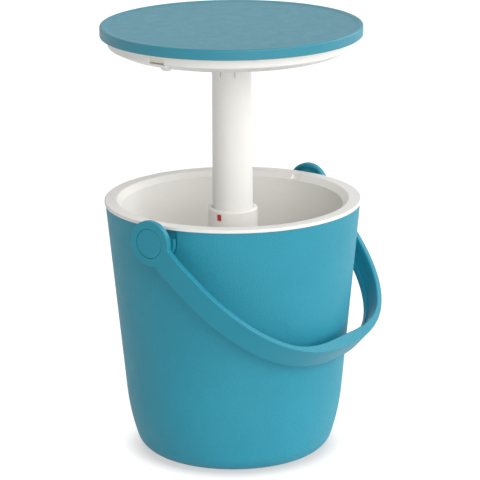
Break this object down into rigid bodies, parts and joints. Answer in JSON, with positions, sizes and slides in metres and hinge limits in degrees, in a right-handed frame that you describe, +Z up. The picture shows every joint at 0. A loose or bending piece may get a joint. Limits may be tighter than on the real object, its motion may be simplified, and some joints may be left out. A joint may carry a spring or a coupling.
{
  "type": "cooler bucket table",
  "caption": "Round insulated drinks bucket with a swinging bow handle and a lid on a sliding pole that rises to serve as a small table.",
  "frame": {"origin": "middle of the bucket's base, on the floor", "axes": "+Z up along the pole, X along the handle's pivots, handle hanging to -Y, table raised"},
  "size_m": [0.366, 0.347, 0.5613],
  "materials": {
    "teal_plastic": "satin, moulded",
    "white_plastic": "satin, moulded",
    "red_plastic": "gloss",
    "foam": "open foam",
    "rubber": "matt",
    "steel": "zinc plated",
    "bush_plastic": "smooth, natural"
  },
  "bodies": {
    "base": {"outer_shell": "teal_plastic", "liner": "white_plastic", "wall_insulation": "foam", "sleeve": "white_plastic", "sleeve_gasket": "rubber", "sleeve_screws": "steel", "collar": "white_plastic", "left_pivot_pin": "white_plastic", "right_pivot_pin": "white_plastic", "left_pivot_washer": "steel", "right_pivot_washer": "steel", "left_pivot_screw": "steel", "right_pivot_screw": "steel"},
    "lock": {"lock_ring": "white_plastic", "lock_flags": "red_plastic"},
    "table": {"tabletop": "teal_plastic", "lid_pan": "white_plastic", "lid_insulation": "foam", "lid_screws": "steel", "pole": "white_plastic", "pole_plug": "white_plastic", "pole_plug_screws": "steel", "pole_foot": "white_plastic"},
    "handle": {"handle": "teal_plastic", "left_bush": "bush_plastic", "right_bush": "bush_plastic", "left_pivot_cap": "teal_plastic", "right_pivot_cap": "teal_plastic"}
  },
  "joints": [
    {"name": "table_twist", "type": "hinge", "parent": "base", "child": "lock", "pos_m": [0, 0, 0.31], "axis": [0, 0, 1], "range_deg": [-16, 0]},
    {"name": "table_lift", "type": "slide", "parent": "lock", "child": "table", "axis": [0, 0, 1], "range_m": [-0.197, 0]},
    {"name": "handle_swing", "type": "hinge", "parent": "base", "child": "handle", "pos_m": [0, 0, 0.3138], "axis": [-1, 0, 0], "range_deg": [0, 100]}
  ]
}
